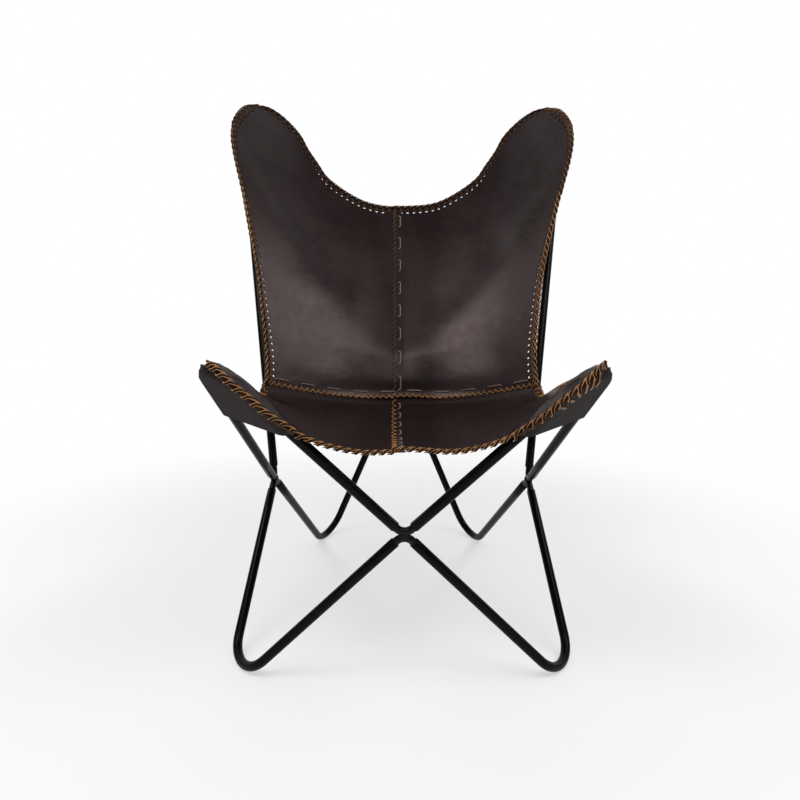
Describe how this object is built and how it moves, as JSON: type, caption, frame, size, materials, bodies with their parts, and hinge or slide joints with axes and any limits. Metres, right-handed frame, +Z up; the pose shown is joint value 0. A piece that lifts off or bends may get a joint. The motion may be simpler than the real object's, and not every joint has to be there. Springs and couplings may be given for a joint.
{
  "type": "butterfly sling chair",
  "caption": "Low lounge chair: a knock-down frame of bent steel tubes on cross connectors, with a dark leather sling hung by corner pockets and edged with braided lacing.",
  "frame": {"origin": "on the floor plane, under the centre of the object's outer box", "axes": "+Z up, the front of the seat faces -Y, +X is the right-hand side as seen from the front"},
  "size_m": [0.6628, 0.7478, 0.8951],
  "materials": {
    "tube": "black gloss powder coat on round steel tube, soft streak highlights along its length",
    "connector": "black powder coat over welded solid rod, slightly duller than the tubes",
    "leather": "very dark brown satin saddle leather with fine grain and soft creases",
    "pocket": "the same dark brown leather, flesh side in, slightly duller",
    "lace": "tan leather thong, braided along the edges and worked through punched holes"
  },
  "bodies": {
    "root": {"foot_tube_front_right": "tube", "foot_tube_front_left": "tube", "foot_tube_back_right": "tube", "foot_tube_back_left": "tube", "top_tube_front_right": "tube", "top_tube_front_left": "tube", "top_tube_back_right": "tube", "top_tube_back_left": "tube", "cross_connector_front": "connector", "cross_connector_back": "connector", "cross_connector_right": "connector", "cross_connector_left": "connector", "seat_panel_left": "leather", "seat_panel_right": "leather", "back_panel_left": "leather", "back_panel_right": "leather", "front_pocket_right": "pocket", "front_pocket_left": "pocket", "back_pocket_right": "pocket", "back_pocket_left": "pocket", "lace_front_edge": "lace", "lace_top_edge": "lace", "lace_left_edge": "lace", "lace_right_edge": "lace", "lace_centre_back": "lace", "lace_centre_seat": "lace", "lace_cross_seam": "lace"}
  },
  "joints": []
}
